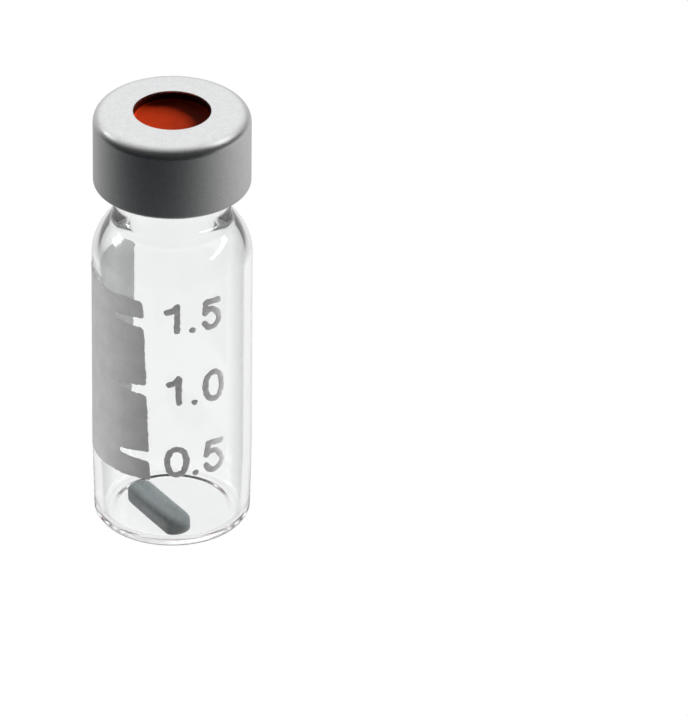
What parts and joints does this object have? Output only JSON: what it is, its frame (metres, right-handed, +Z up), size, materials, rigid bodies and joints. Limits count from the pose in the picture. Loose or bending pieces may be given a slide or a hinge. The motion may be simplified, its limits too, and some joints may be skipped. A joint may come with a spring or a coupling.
{
  "type": "crimp-capped sample vial",
  "caption": "Small glass sample vial with a rounded shoulder, a rubber septum under a crimped aluminium cap, an enamel write-on patch with fill marks, and a stir bar inside.",
  "frame": {"origin": "centre of the standing ring under the base, on the vial's axis", "axes": "+Z up along the vial's axis towards the cap, -Y towards the side with the printed fill marks"},
  "size_m": [0.0117, 0.0116, 0.0335],
  "materials": {
    "vial_glass": "clear polished",
    "septum": "smooth red",
    "crimp_cap": "satin",
    "write_on_patch": "matt fired enamel",
    "stir_bar": "smooth grey coating"
  },
  "bodies": {
    "root": {"vial_glass": "vial_glass", "septum": "septum", "crimp_cap": "crimp_cap", "write_on_patch": "write_on_patch", "stir_bar": "stir_bar"}
  },
  "joints": []
}
